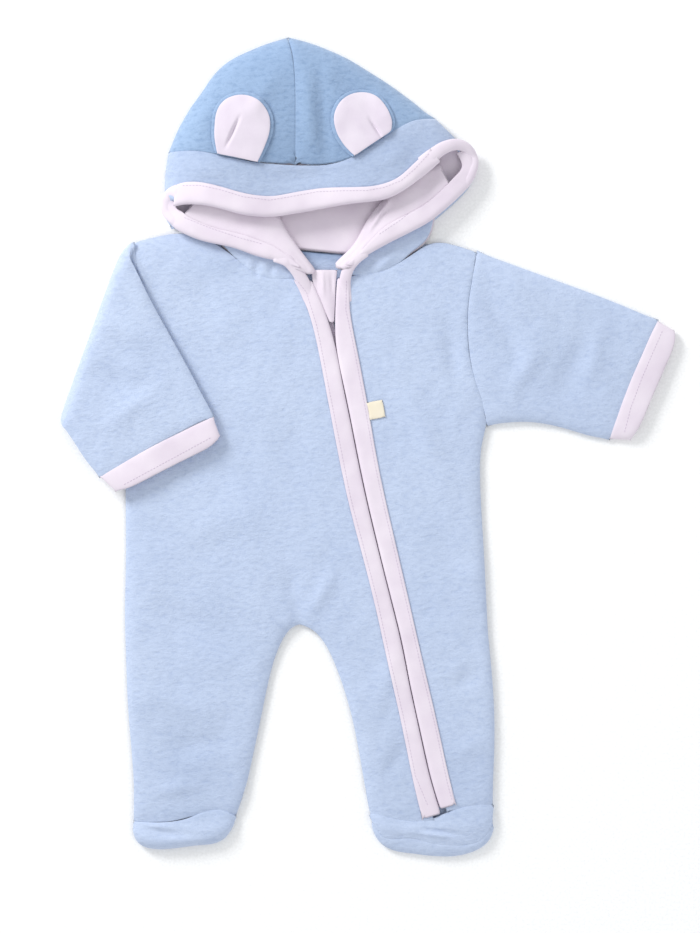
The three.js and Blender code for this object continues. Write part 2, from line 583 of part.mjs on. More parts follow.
const down = (points, by) => points.map(([x, y]) => [x, y - by]);
{
  const ankle = down(ANKLE_LEFT, FOOT_GAP);
  const rows = patch(
    through(TOES_LEFT), through(ankle), through([TOES_LEFT[0], ankle[0]]),
      through([TOES_LEFT.at(-1), ankle.at(-1)]),
    shares(12, true, true), shares(6, true),
  );
  add("foot_left_vamp", wall([bulge(rows, topHeight, FOOT_LIFT)], FLEECE, { floor: FLEECE + LAYER }),
    fleece);
  const heel = [[side.left(HEEL_Y), HEEL_Y - GAP], [inseam.left(HEEL_Y), HEEL_Y - GAP]];
  const sole = patch(
    through(TOES_LEFT), through(heel), through([TOES_LEFT[0], heel[0]]),
      through([TOES_LEFT.at(-1), [-56, 32], heel[1]]),
    shares(10), shares(4),
  );
  add("foot_left_sole", wall([raise(sole, () => FLEECE / 2)], FLEECE), fleece);
}
{
  const ankle = ANKLE_FOOT;
  const seam = down(TOE_SEAM_RIGHT, -3 * GAP);
  const rows = patch(
    through(seam), through(ankle), through([seam[0], ankle[0]]), through([seam.at(-1), ankle.at(-1)]),
    shares(12, true, true), shares(5),
  );
  add("foot_right_vamp", wall([bulge(rows, topHeight, FOOT_LIFT * 0.6)], FLEECE,
    { floor: FLEECE + LAYER }), fleece);
  // The sole is rolled up over the toes: rows from the toe seam over the edge to the heel seam.
  const toeSeam = through(TOE_SEAM_RIGHT);
  const toes = through(TOES_RIGHT);
  const heel = straight([[inseam.right(HEEL_Y), HEEL_Y - GAP], [side.right(HEEL_Y), HEEL_Y - GAP]]);
  // share of the way from the toe seam to the edge, or from the edge to the heel, and the height
  const ROLL = [
    ["up", 0, 1], ["up", 0.45, 0.75], ["up", 0.8, 0.4], ["up", 1, 0], ["under", 0.05, -1],
    ["under", 0.3, -1], ["under", 1, -1],
  ];
  const sole = ROLL.map(([where, share, rise]) =>
    shares(14, true, true).map((u) => {
      const from = where === "up" ? toeSeam(u) : toes(u);
      const to = where === "up" ? toes(u) : heel(u);
      const [x, y] = mix(from, to, share);
      const seamHeight = topHeight(...toeSeam(u));
      const z = rise < 0 ? FLEECE / 2 : EDGE_LIFT + (seamHeight - EDGE_LIFT) * rise;
      return [x, y, z];
    }),
  );
  add("foot_right_sole", wall([sole], FLEECE), fleece);
}

// ---- hood ----
const hoodLeft = straight([...HOOD_LEFT, ...HOOD_CROWN_LEFT.slice(1)]);
const hoodRight = straight([...HOOD_RIGHT, ...HOOD_CROWN_RIGHT.slice(1)]);
const hoodTop = straight([...HOOD_TOP_LEFT, ...HOOD_TOP_RIGHT.slice(1)]);
const hoodFlat = patch(straight(HOOD_NECK), hoodTop, hoodLeft, hoodRight, shares(16), shares(8));
add("hood_back", wall([raise(hoodFlat, () => FLEECE / 2)], FLEECE), fleece);
{
  const keep = 0.95; // the lining stops inside the outer seam
  const middle = [15, 494];
  const rows = hoodFlat.map((row) => row.map(([x, y]) => [middle[0] + (x - middle[0]) * keep,
    middle[1] + (y - middle[1]) * keep]));
  add("lining_back", wall([raise(rows, () => FLEECE + LAYER + JERSEY / 2)], JERSEY), jersey);
}
{
  const floor = { floor: FLEECE + LAYER };
  const seamLeft = through(down(EAR_SEAM_LEFT, -2 * GAP));
  const seamRight = through(down(EAR_SEAM_RIGHT, -5 * GAP));
  const centre = through(CENTRE_SEAM);
  const crownRows = shares(8, false, true).map((v) => 0.025 + v * 0.975);
  const left = patch(
    seamLeft, through(HOOD_TOP_LEFT), through(HOOD_CROWN_LEFT), centre,
      shares(10, true).map((u) => u * 0.997), crownRows,
  );
  add("hood_crown_left", wall([raise(left, hoodHeight)], FLEECE, floor), fleeceDeep);
  const right = patch(
    seamRight, through(HOOD_TOP_RIGHT), centre, through(HOOD_CROWN_RIGHT),
      shares(12, false, true).map((u) => 0.003 + u * 0.997), crownRows,
  );
  add("hood_crown_right", wall([raise(right, hoodHeight)], FLEECE, floor), fleeceDeep);
}
// where the cloth ends inside the rim's binding
const RIM_INSET = JERSEY + 4 * LAYER + (FLEECE + LAYER + JERSEY) / 2;
const rimCloth = RIM.map(([fx, fy, sx, sy]) => {
  const length = Math.hypot(sx - fx, sy - fy);
  return mix([fx, fy], [sx, sy], RIM_INSET / length);
});
{
  const lower = through([[-111, 545], ...rimCloth, [124, 583]]);
  const upper = through(down([...EAR_SEAM_LEFT, ...EAR_SEAM_RIGHT.slice(1)], GAP / 2));
  const rows = patch(
    lower, upper, through([[-111, 545], [-110, 560], [-108, 573 - GAP / 2]]),
      through([[124, 583], [115, 592], [107, 600 - GAP / 2]]),
    shares(20, true, true), shares(5),
  );
  add("hood_band", wall([raise(rows, hoodHeight)], FLEECE, { floor: FLEECE + LAYER }), fleece);
  // The lining follows the inside of band and crown, a layer in.
  const drop = -(FLEECE / 2 + LAYER + JERSEY / 2);
  const slack = 2.2; // the lining hangs a little lower away from the rim
  const brow = through([[-104, 548], ...rimCloth.slice(1, -1), [117, 580]]);
  const inner = straight([[-104, 552], [-102, 573], [-94, 592],
    ...HOOD_TOP_LEFT.slice(1, -1).map(([x, y]) => [x + 3, y - 5]), [-12, 660],
    ...HOOD_TOP_RIGHT.slice(1).map(([x, y]) => [x - 2, y - 5]), [104, 595], [116, 583]]);
  const lining = patch(
    brow, inner, straight([[-104, 548], [-104, 552]]), straight([[117, 580], [116, 583]]),
      shares(18, true, true), shares(8),
  );
  const hung = lining.map((row, i) => offset([row], hoodHeight, drop - slack * ease(i - 1))[0]);
  add("lining_top", wall([hung], JERSEY), jersey);
}

// ---- the hood's near walls ----
// One section of a wall, as [distance along it, height]: under, round the roll, and back to the free edge.
function wallSection([nx, ny, rx, ry, fx, fy, freeHeight], out) {
  const neck = new THREE.Vector2(nx, ny);
  const roll = new THREE.Vector2(rx, ry);
  const free = new THREE.Vector2(fx, fy);
  const inward = roll.clone().sub(neck).normalize();
  const outward = roll.clone().sub(free).normalize();
  const radius = WALL_ROLL + out;
  const centre = roll.clone().addScaledVector(inward, -WALL_ROLL);
  const axisHeight = WALL_LIFT + WALL_ROLL;
  const section = [0, 0.35, 0.7].map((t) => [...neck.clone().lerp(centre, t).toArray(), WALL_LIFT - out]);
  for (let i = 0; i <= 6; i++) {
    const angle = (Math.PI * i) / 6;
    const way = inward.clone().lerp(outward, i / 6).normalize();
    const p = centre.clone().addScaledVector(way, radius * Math.sin(angle));
    section.push([p.x, p.y, axisHeight - radius * Math.cos(angle)]);
  }
  const end = free.clone().addScaledVector(outward, RIM_INSET);
  for (const t of [0.25, 0.5, 0.75, 1]) {
    const p = centre.clone().lerp(end, t);
    section.push([p.x, p.y, axisHeight + radius + (freeHeight - axisHeight - WALL_ROLL) * ease(t * 2)]);
  }
  return section;
}

// Rows spread evenly along a table of stations, every column smooth.
function alongStations(stations, count) {
  const curves = [];
  for (let i = 0; i < stations[0].length; i += 1) {
    curves.push(new THREE.CatmullRomCurve3(stations.map((s, k) => new THREE.Vector3(k, s[i], 0)), false,
      "catmullrom", 0.5));
  }
  return Array.from({ length: count + 1 }, (_, k) => curves.map((c) => c.getPoint(k / count).y));
}

// A folded strip round a cloth edge: [fold x, fold y, seam x, seam y] and heights at both.
function bindingSection(fold, seam, heightAt, half, under = BINDING_UNDER) {
  const inward = new THREE.Vector2(seam[0] - fold[0], seam[1] - fold[1]);
  const width = inward.length();
  inward.normalize();
  const radius = half + LAYER + JERSEY / 2;
  const axis = radius + JERSEY / 2;
  const at = (distance, rise) => {
    const [x, y] = [fold[0] + inward.x * distance, fold[1] + inward.y * distance];
    return [x, y, heightAt(x, y, distance) + rise];
  };
  const section = [at(width, radius), at((width + axis) / 2, radius)];
  for (let i = 0; i <= 4; i++) {
    const angle = (Math.PI * i) / 4;
    section.push(at(axis - radius * Math.sin(angle), radius * Math.cos(angle)));
  }
  section.push(at((under + axis) / 2, -radius), at(under, -radius));
  return section;
}

for (const [name, stations, corner] of [
  ["left", WALL_LEFT, CORNER_LEFT],
  ["right", WALL_RIGHT, CORNER_RIGHT],
]) {
  const rows = alongStations(stations, 11);
  const liningOut = FLEECE / 2 + 3.5 * LAYER + JERSEY / 2; // loose, as the rolled wall bends
  add(`hood_side_${name}`, wall([rows.map((s) => wallSection(s, 0))], FLEECE), fleece);
  add(`lining_side_${name}`, wall([rows.map((s) => wallSection(s, liningOut))], JERSEY), jersey);
  const half = (FLEECE + 5 * LAYER + JERSEY) / 2;
  const bound = [...rows, ...alongStations([stations.at(-1), ...corner], 6).slice(1)];
  const strip = bound.map(([, , rx, ry, fx, fy, height]) => {
    const reach = Math.hypot(rx - fx, ry - fy);
    const width = Math.min(BINDING_WIDTH, reach * 0.55);
    const seam = mix([fx, fy], [rx, ry], width / reach);
    const rise = (LAYER + JERSEY) / 2;
    return bindingSection([fx, fy], seam, () => height + rise, half, Math.min(BINDING_UNDER, width));
  });
  add(`binding_side_${name}`, wall([strip], JERSEY), jersey);
}
{
  const half = (FLEECE + LAYER + JERSEY) / 2;
  const rows = alongStations(RIM, 20).map(([fx, fy, sx, sy]) =>
    bindingSection([fx, fy], [sx, sy], (x, y) => hoodHeight(x, y) - (LAYER + JERSEY) / 2,
      half + 2 * LAYER, RIM_UNDER),
  );
  add("binding_rim", wall([rows], JERSEY), jersey);
}

// ---- ears ----
function grown(ear, by) {
  const all = [...ear.left, ...ear.tip.slice(1), ...[...ear.right].reverse().slice(1)];
  const centre = [0, 1].map((i) => all.reduce((sum, p) => sum + p[i], 0) / all.length);
  const grow = (points) =>
    points.map((p) => {
      const away = Math.hypot(p[0] - centre[0], p[1] - centre[1]);
      return mix(centre, p, (away + by) / away);
    });
  const larger = { left: grow(ear.left), tip: grow(ear.tip), right: grow(ear.right) };
  larger.left[0] = mix(ear.base[0], ear.base[1], -0.06);
  larger.right[0] = mix(ear.base[1], ear.base[0], -0.06);
  larger.base = [larger.left[0], larger.right[0]];
  return larger;
}

function earRows(ear, rise) {
  const rows = patch(straight(ear.base), through(ear.tip), through(ear.left), through(ear.right),
    shares(7), shares(6));
  return offset(rows, hoodHeight, rise);
}

for (const [name, ear] of [["left", EAR_LEFT], ["right", EAR_RIGHT]]) {
  const back = FLEECE / 2 + LAYER + EAR_CLOTH / 2;
  add(`ear_${name}_back`, wall([earRows(grown(ear, EAR_MARGIN), back)], EAR_CLOTH), fleeceDeep);
  add(`ear_${name}_face`, wall([earRows(ear, back + EAR_CLOTH / 2 + LAYER + JERSEY / 2)], JERSEY), jersey);
}

// ---- the zip ----
for (const [name, seamPoints, sign] of [
  ["left", BINDING_LEFT_SEAM, -1],
  ["right", BINDING_RIGHT_SEAM, 1],
]) {
  const seam = through(seamPoints);
  const edge = zipEdge[name];
  const rows = shares(16).map((v) => {
    const [sx, sy] = seam(v);
    const [low, high] = name === "left" ? [32.5, 469.3] : [36.5, 471.3];
    const y = low + (high - low) * v;
    return bindingSection([edge(y) + sign * ZIP_HALF_GAP, y], [sx, sy], topHeight, FLEECE / 2);
  });
  add(`binding_zip_${name}`, wall([rows], JERSEY), jersey);
  const tape = ZIP_ROWS.map((y) => {
    const inner = edge(y) + sign * (CHAIN_WIDTH / 2 + GAP);
    return [0, 0.5, 1].map((t) => [inner + sign * TAPE_WIDTH * t, y, FLEECE + LAYER + TAPE / 2 + 0.6]);
  });
  add(`zip_tape_${name}`, wall([tape], TAPE), tapeCloth);
}
{
  const rows = ZIP_ROWS.slice(0, -1).map((y) => {
    const middle = zipEdge.left(y) + Math.max(0, (zipEdge.right(y) - zipEdge.left(y)) / 2);
    return [-0.5, 0.5].map((t) => [middle + CHAIN_WIDTH * t, y, FLEECE + LAYER + 0.75]);
  });
  add("zip_chain", wall([rows], 1.3), nylon);
}
{
  // A plain slider with its tab, at the top of the closed stretch and under the guard.
  const [x, y] = SLIDER.at;
  const z = FLEECE + LAYER + 0.75 + 0.65 + LAYER;
  const body = new THREE.BoxGeometry(SLIDER.width, SLIDER.length, SLIDER.thick);
  body.translate(x, y, z + SLIDER.thick / 2);
  add("zip_slider", body, paintedMetal);
}
{
  // The guard is a folded tongue of jersey that fills the V above the slider.
  const left = through(GUARD.left);
  const right = through(GUARD.right);
  const inset = 0.8;
  const rows = shares(8).map((v) => {
    const [a, b] = [left(0.1 + 0.9 * v), right(0.1 + 0.9 * v)];
    return shares(4).map((u) => {
      const x = a[0] + inset + (b[0] - a[0] - 2 * inset) * u;
      const y = a[1] + (b[1] - a[1]) * u;
      return [x, y, GUARD.height + GUARD.fullness * 4 * u * (1 - u)];
    });
  });
  add("zip_guard", wall([rows], JERSEY), jersey);
}

// ---- small parts ----
{
  const [x, y] = LABEL.corner;
  const rows = shares(2).map((v) =>
    shares(2).map((u) => [x + LABEL.along[0] * u + LABEL.down[0] * v,
      y + LABEL.along[1] * u + LABEL.down[1] * v]),
  );
  add("label", wall([offset(rows, topHeight, FLEECE / 2 + LAYER + 0.4)], 0.8), labelCloth);
}

// The frame's origin is the middle of the underside.
const box = new THREE.Box3().setFromObject(pramsuit);
const middle = box.getCenter(new THREE.Vector3());
for (const mesh of pramsuit.children) mesh.geometry.translate(-middle.x, -middle.y, -box.min.z);

export default pramsuit;
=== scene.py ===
"""Looks of a baby's fleece pramsuit, laid flat and seen from straight above.

Every cloth piece is a thin shell on its solid's own form: welded, rounded by subdivision, then given its
creases. Lengths in the tables are millimetres in the garment's own axes: x from the body's centre line,
y from the toes to the hood.
"""

import json
import math

import bmesh
import bpy
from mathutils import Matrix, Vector
from mathutils import noise as field
from mathutils.bvhtree import BVHTree


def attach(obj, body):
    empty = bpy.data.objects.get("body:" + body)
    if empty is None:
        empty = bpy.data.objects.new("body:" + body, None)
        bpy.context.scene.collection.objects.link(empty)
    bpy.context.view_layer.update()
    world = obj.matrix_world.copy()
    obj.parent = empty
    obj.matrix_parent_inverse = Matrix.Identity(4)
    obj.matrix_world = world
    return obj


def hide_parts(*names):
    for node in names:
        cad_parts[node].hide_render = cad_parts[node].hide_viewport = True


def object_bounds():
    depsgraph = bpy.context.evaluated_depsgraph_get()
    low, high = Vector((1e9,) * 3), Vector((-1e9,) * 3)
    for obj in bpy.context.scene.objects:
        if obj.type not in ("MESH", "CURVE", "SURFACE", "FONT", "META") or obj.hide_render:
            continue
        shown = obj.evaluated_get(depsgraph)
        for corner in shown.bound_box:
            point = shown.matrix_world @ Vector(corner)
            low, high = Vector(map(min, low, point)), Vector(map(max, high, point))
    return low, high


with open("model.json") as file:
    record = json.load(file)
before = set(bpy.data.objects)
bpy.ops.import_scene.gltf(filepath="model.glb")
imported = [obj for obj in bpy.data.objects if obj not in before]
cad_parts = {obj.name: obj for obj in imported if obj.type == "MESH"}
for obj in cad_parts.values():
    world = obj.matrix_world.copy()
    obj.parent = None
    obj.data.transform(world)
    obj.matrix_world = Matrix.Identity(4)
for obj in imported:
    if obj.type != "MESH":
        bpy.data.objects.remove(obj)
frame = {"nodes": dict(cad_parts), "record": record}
cad_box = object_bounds()

MM = 0.001
UP = Vector((0, 0, 1))
LOWEST_X, LOWEST_Y = -196.6, -2.4  # corner of the part's box, in the garment's axes
BODY_X = -cad_box[0].x / MM + LOWEST_X  # the part's origin, in the garment's axes
BODY_Y = -cad_box[0].y / MM + LOWEST_Y


def place(x, y, z=0.0):
    """A point of the garment's axes in the part's frame, in metres."""
    return Vector(((x - BODY_X) * MM, (y - BODY_Y) * MM, z * MM))


# ---- materials ----
def principled(name, roughness, sheen=0.0):
    material = bpy.data.materials.new(name)
    material.use_nodes = True
    tree = material.node_tree
    shader = tree.nodes["Principled BSDF"]
    shader.inputs["Roughness"].default_value = roughness
    shader.inputs["Sheen Weight"].default_value = sheen
    shader.inputs["Sheen Roughness"].default_value = 0.5
    shader.inputs["Specular IOR Level"].default_value = 0.2
    return material, tree, shader


def noise(tree, scale, detail=3.0, rough=0.5, stretch=(1.0, 1.0, 1.0)):
    """Noise in the part's own coordinates; scale is lumps per metre."""
    coords = tree.nodes.new("ShaderNodeTexCoord")
    mapping = tree.nodes.new("ShaderNodeMapping")
    mapping.inputs["Scale"].default_value = stretch
    tree.links.new(coords.outputs["Object"], mapping.inputs["Vector"])
    node = tree.nodes.new("ShaderNodeTexNoise")
    node.inputs["Scale"].default_value = scale
    node.inputs["Detail"].default_value = detail
    node.inputs["Roughness"].default_value = rough
    tree.links.new(mapping.outputs["Vector"], node.inputs["Vector"])
    return node.outputs["Fac"]


def ramp(tree, value, stops):
    node = tree.nodes.new("ShaderNodeValToRGB")
    node.color_ramp.elements[0].position, node.color_ramp.elements[0].color = stops[0]
    node.color_ramp.elements[1].position, node.color_ramp.elements[1].color = stops[-1]
    for position, colour in stops[1:-1]:
        node.color_ramp.elements.new(position).color = colour
    tree.links.new(value, node.inputs["Fac"])
    return node.outputs["Color"]


def blend(tree, a, b, factor, mode="MIX"):
    node = tree.nodes.new("ShaderNodeMix")
    node.data_type = "RGBA"
    node.blend_type = mode
    node.inputs[0].default_value = factor
    tree.links.new(a, node.inputs[6])
    tree.links.new(b, node.inputs[7])
    return node.outputs[2]


def bump(tree, value, strength, height, normal=None):
    node = tree.nodes.new("ShaderNodeBump")
    node.inputs["Strength"].default_value = strength
    node.inputs["Distance"].default_value = height
    tree.links.new(value, node.inputs["Height"])
    if normal:
        tree.links.new(normal, node.inputs["Normal"])
    return node.outputs["Normal"]


def linear(hex_colour, gain=1.0):
    values = [int(hex_colour[i : i + 2], 16) / 255 for i in (1, 3, 5)]
    return (*[gain * (v / 12.92 if v <= 0.04045 else ((v + 0.055) / 1.055) ** 2.4) for v in values], 1.0)


def under_painted_shade_and_tone(tree, colour):
    """The colour under the shell's soft painted shade and tone."""
    shade = tree.nodes.new("ShaderNodeAttribute")
    shade.attribute_name = "painted_shade_and_tone"
    return blend(tree, colour, shade.outputs["Color"], 1.0, "MULTIPLY")


def fleece(name, pale, deep):
    """Short-pile fleece: matted tufts a few millimetres across over a fine fibre grain."""
    material, tree, shader = principled(name, 0.95, 0.35)
    tufts = noise(tree, 230, 4.0, 0.62, (0.8, 1.5, 1.0))
    fibres = noise(tree, 900, 3.0, 0.6)
    patches = noise(tree, 14, 2.0, 0.5)
    colour = ramp(tree, tufts, [(0.3, linear(deep)), (0.5, linear(pale)), (0.7, linear(pale, 1.05))])
    shade = ramp(tree, patches, [(0.3, (0.95, 0.96, 0.98, 1)), (0.7, (1, 1, 1, 1))])
    grain = ramp(tree, fibres, [(0.3, (0.93, 0.94, 0.97, 1)), (0.7, (1, 1, 1, 1))])
    colour = blend(tree, blend(tree, colour, shade, 1.0, "MULTIPLY"), grain, 1.0, "MULTIPLY")
    tree.links.new(under_painted_shade_and_tone(tree, colour), shader.inputs["Base Color"])
    tree.links.new(bump(tree, fibres, 0.5, 0.0004, bump(tree, tufts, 0.75, 0.0011)), shader.inputs["Normal"])
    return material


def jersey(name, pale, deep, takes_painted_shade_and_tone=True):
    """Plain knit: fine upright ribs and a little unevenness."""
    material, tree, shader = principled(name, 0.85, 0.2)
    ribs = noise(tree, 1500, 1.0, 0.5, (1.0, 0.3, 1.0))
    cloud = noise(tree, 40, 3.0, 0.5)
    colour = ramp(tree, cloud, [(0.3, linear(deep)), (0.7, linear(pale))])
    tree.links.new(under_painted_shade_and_tone(tree, colour) if takes_painted_shade_and_tone else colour, shader.inputs["Base Color"])
    tree.links.new(bump(tree, ribs, 0.35, 0.0002, bump(tree, cloud, 0.3, 0.0008)), shader.inputs["Normal"])
    return material


def smooth_plastic(name, colour, roughness):
    material, tree, shader = principled(name, roughness)
    grain = noise(tree, 500, 2.0)
    shade = ramp(tree, grain, [(0.3, linear(colour, 0.92)), (0.7, linear(colour))])
    tree.links.new(shade, shader.inputs["Base Color"])
    tree.links.new(bump(tree, grain, 0.1, 0.0001), shader.inputs["Normal"])
    return material


FINISHES = {
    "fleece_blue": fleece("fleece_blue", "#c2cfe6", "#b8c6e0"),
    "fleece_deep": fleece("fleece_deep", "#97afcd", "#88a1c1"),
    "jersey_white": jersey("jersey_white", "#e9dfe9", "#dfd3e0"),
    "zip_tape": jersey("zip_tape", "#dcd2df", "#d0c4d4"),
    "zip_nylon": smooth_plastic("zip_nylon", "#cfc4d4", 0.45),
    "zip_metal": smooth_plastic("zip_metal", "#e4dde8", 0.3),
    "label_cloth": jersey("label_cloth", "#efe6d2", "#e8dcc2"),
}
SLOT_OF = {part["node"]: part["material_slot"] for part in frame["record"]["subparts"]}

# ---- creases ----
# from x, from y, to x, to y, half width, height (a trough is negative); each fades towards its ends
CREASES = [
    (-143, 495, -126, 463, 3.0, 0.7),  # folded sleeve, beside its overarm edge
    (-170, 440, -120, 415, 9, 0.8),
    (-178, 395, -118, 372, 10, -0.8),
    (-160, 350, -112, 385, 7, 0.6),
    (146, 468, 178, 400, 8, -0.9),  # right sleeve
    (158, 478, 200, 440, 7, 0.7),
    (168, 372, 196, 420, 8, 0.8),
    (205, 362, 232, 424, 10, -0.7),
    (246, 440, 232, 380, 6, 0.5),
    (118, 440, 126, 380, 7, -0.7),  # chest beside the armhole
    (-100, 470, -60, 440, 12, -0.6),
    (-60, 400, -20, 330, 16, 0.6),
    (-110, 330, -50, 300, 14, -0.7),
    (-95, 262, -30, 282, 12, 0.6),
    (80, 395, 118, 300, 10, 0.6),
    (100, 262, 136, 232, 9, -0.6),
    (-3, 194, -14, 236, 6, -0.8),  # from the crotch
    (4, 194, 26, 232, 6, 0.7),
    (-18, 184, -44, 214, 6, 0.6),
    (-118, 205, -62, 170, 12, -0.7),  # legs
    (-128, 130, -66, 112, 11, 0.7),
    (-118, 84, -60, 96, 9, -0.7),
    (-126, 48, -84, 58, 6, 0.6),
    (58, 112, 78, 172, 8, 0.6),
    (66, 62, 88, 92, 7, -0.6),
    (118, 132, 146, 152, 8, -0.6),
    (122, 76, 148, 96, 8, 0.6),
    (-130, 24, -106, 21, 2.2, 0.8),  # feet
    (-122, 18, -78, 15, 3.0, -0.5),
    (94, 21, 130, 15.5, 2.2, -0.8),
    (100, 17, 120, 14, 1.8, 0.6),
    (9, 475, 13, 459, 1.4, -0.35),  # folds of the zip's guard
    (16, 478, 17, 456, 1.4, 0.35),
    (23, 476, 24, 458, 1.4, -0.35),
    (-38, 489, -38, 472, 2.0, -0.9),  # pleats of the neck
    (-25, 487, -26, 473, 2.0, -0.8),
    (60, 478, 78, 492, 3.0, 0.6),
    (71, 535, 54, 509, 2.0, 1.0),  # lining
    (70, 526, 62, 520, 1.6, -0.7),
    (26, 526, 4, 512, 5, -0.6),
    (-88, 522, -40, 512, 6, -0.5),
    (96, 545, 112, 560, 6, -0.6),
    (-51, 601, -62, 577, 1.3, -0.9),  # darts of the ears
    (54, 600, 65, 583, 1.3, -0.9),
    (14, 640, 20, 562, 5, -0.9),  # crown
    (2, 642, 8, 566, 6, 0.9),
    (-20, 640, -44, 600, 8, 0.9),
    (26, 636, 62, 606, 8, -0.9),
    (-80, 610, -84, 586, 7, 0.6),
    (-90, 560, -60, 556, 7, 0.5),  # band
    (-20, 552, 18, 554, 7, -0.5),
    (60, 560, 84, 574, 7, 0.5),
]


CREASE_GAIN = 2.9


def crease_height(x, y):
    """Rise in millimetres of all creases at a point of the garment."""
    rise = 0.0
    for ax, ay, bx, by, width, height in CREASES:
        along = Vector((bx - ax, by - ay))
        t = Vector((x - ax, y - ay)).dot(along) / along.length_squared
        if -0.15 < t < 1.15:
            off = abs((x - ax) * along.y - (y - ay) * along.x) / along.length
            if off < 3 * width:
                fade = math.sin(math.pi * (t + 0.15) / 1.3) ** 1.5
                rise += CREASE_GAIN * height * fade * math.exp(-((off / width) ** 2))
    return rise


def drift(x, y):
    """Slow unevenness of cloth laid by hand."""
    return 0.9 * field.noise(Vector((x / 30, y / 42, 3))) + 0.45 * field.noise(Vector((x / 12, y / 15, 9)))


# ---- soft painted shade, and some tone, on the cloth ----
# x, y, reach across, reach up, darkening, and the pieces that take it (none named: all fleece)
PAINTED_SHADES_AND_TONES = [
    (12, 494, 60, 9, 0.42, ("back",)),  # painted shade inside the back neck, seen through the neck opening
    # painted shade over the hood's band, deeper along its upper edge where it folds into the crown
    (0, 560, 300, 60, 0.15, ("hood_band",)),
    (10, 580, 160, 14, 0.08, ("hood_band",)),
    # painted shade on the crown just above its seam to the band
    (-6, 570, 45, 14, 0.07, ("hood_crown_left", "hood_crown_right")),
    # painted light on the crown's sides where they fold down to the band, softening the step between the two
    # blues
    (-105, 590, 26, 40, -0.08, ("hood_crown_left",)),
    (100, 600, 34, 34, -0.08, ("hood_crown_right",)),
    # painted shade on the crown beside the ears
    (-56, 590, 24, 26, 0.09, ("hood_crown_left",)),
    (48, 596, 26, 26, 0.09, ("hood_crown_right",)),
    # the ear faces a little darker all over
    (0, 600, 300, 100, 0.05, ("ear_left_face", "ear_right_face")),
    # darker patches on the legs and the right sleeve; the two bands 6 mm tall are painted shade along the
    # ankle folds
    (-108, 108, 26, 34, 0.06, ()),
    (-88, 62, 36, 28, 0.08, ()),
    # painted shade along the left ankle's fold
    (-95, 33, 42, 6, 0.08, ()),
    (76, 72, 16, 38, 0.07, ()),
    # painted shade along the right ankle's fold
    (104, 33, 46, 6, 0.07, ()),
    (-70, 180, 22, 30, 0.04, ()),
    (118, 60, 30, 26, 0.08, ()),
    (230, 400, 60, 50, 0.05, ()),
    # painted shade along the fronts' tops, under the hood's turned-out edge
    (-60, 480, 40, 10, 0.07, ("front_left",)),
    (90, 490, 40, 10, 0.07, ("front_right",)),
]


def painted_shade_and_tone_at(node, x, y):
    """Colour of painted shade and tone that multiplies the cloth's own at a point of a piece."""
    dark = 0.0
    for sx, sy, across, up, amount, nodes in PAINTED_SHADES_AND_TONES:
        if node in nodes or (not nodes and SLOT_OF[node] == "fleece_blue"):
            dark += amount * math.exp(-(((x - sx) / across) ** 2) - ((y - sy) / up) ** 2)
    return (1 - 1.15 * dark, 1 - dark, 1 - 0.8 * dark, 1.0)


# ---- cloth pieces ----
# node: flat width, flat length and area of its cut in mm and mm2, and how it is held
CUTS = {
    "back": (300, 463, 120670, "laid"),
    "front_left": (244, 492, 80984, "laid"),
    "front_right": (127, 467, 37576, "laid"),
    "sleeve_left": (270, 157, 32480, "folded"),
    "sleeve_right": (270, 157, 31951, "laid"),
    "cuff_left": (208, 21, 4348, "folded"),
    "cuff_right": (208, 21, 4348, "laid"),
    "foot_left_vamp": (30, 83, 2085, "laid"),
    "foot_left_sole": (45, 88, 3541, "laid"),
    "foot_right_vamp": (31, 98, 1937, "laid"),
    "foot_right_sole": (60, 102, 5786, "laid"),
    "hood_back": (167, 247, 31598, "laid"),
    "hood_crown_left": (104, 104, 8307, "laid"),
    "hood_crown_right": (107, 115, 7985, "laid"),
    "hood_band": (45, 245, 9419, "laid"),
    "hood_side_left": (60, 112, 6156, "folded"),
    "hood_side_right": (62, 112, 5674, "folded"),
    "lining_back": (159, 235, 28231, "laid"),
    "lining_top": (150, 215, 20582, "laid"),
    "lining_side_left": (66, 112, 6937, "folded"),
    "lining_side_right": (66, 115, 6438, "folded"),
    "binding_rim": (26, 300, 7040, "folded"),
    "binding_side_left": (24, 126, 2837, "folded"),
    "binding_side_right": (25, 138, 3249, "folded"),
    "binding_zip_left": (26, 487, 11290, "folded"),
    "binding_zip_right": (26, 470, 11245, "folded"),
    "ear_left_back": (51, 55, 2505, "laid"),
    "ear_left_face": (47, 53, 2079, "laid"),
    "ear_right_back": (52, 55, 2204, "laid"),
    "ear_right_face": (44, 46, 1817, "laid"),
    "zip_tape_left": (11, 437, 4800, "laid"),
    "zip_tape_right": (11, 437, 4800, "laid"),
    "zip_guard": (20, 42, 562, "laid"),
    "label": (12, 13.2, 158, "laid"),
}
# pieces that take no creases
PLAIN = ("back", "foot_left_sole", "hood_back", "lining_back", "zip_tape_left", "zip_tape_right", "label")
# how far a piece's rounded edges are let out to meet its neighbour in the seam, in mm
LET_OUT = {
    "hood_crown": 1.7, "hood_band": 1.7, "hood_back": 2.0, "hood_side": 1.3, "lining": 2.6, "back": 1.3,
    "front": 1.5, "sleeve": 1.7, "binding": 0.7, "ear": 0.4, "foot_right_vamp": 2.4, "foot": 1.5,
}
LET_OUT_ELSEWHERE = 0.95
WELD = 2e-6
FLAT_ENOUGH, SHAPE_ENOUGH = 0.9, 1.2  # when two triangles become one face
RIM = math.radians(50)  # an edge turned by more is on the rim of the wall
CORNER = math.radians(38)  # a rim that turns by more stays sharp there
FINE, COARSE = 3, 2  # rounds of subdivision
CREASE_FLOOR, CREASE_FULL = 2.3, 3.0  # creases start at this height and are whole so much higher
SLEEVE_UNDERSIDE = 2.6  # the laid sleeve has none below this


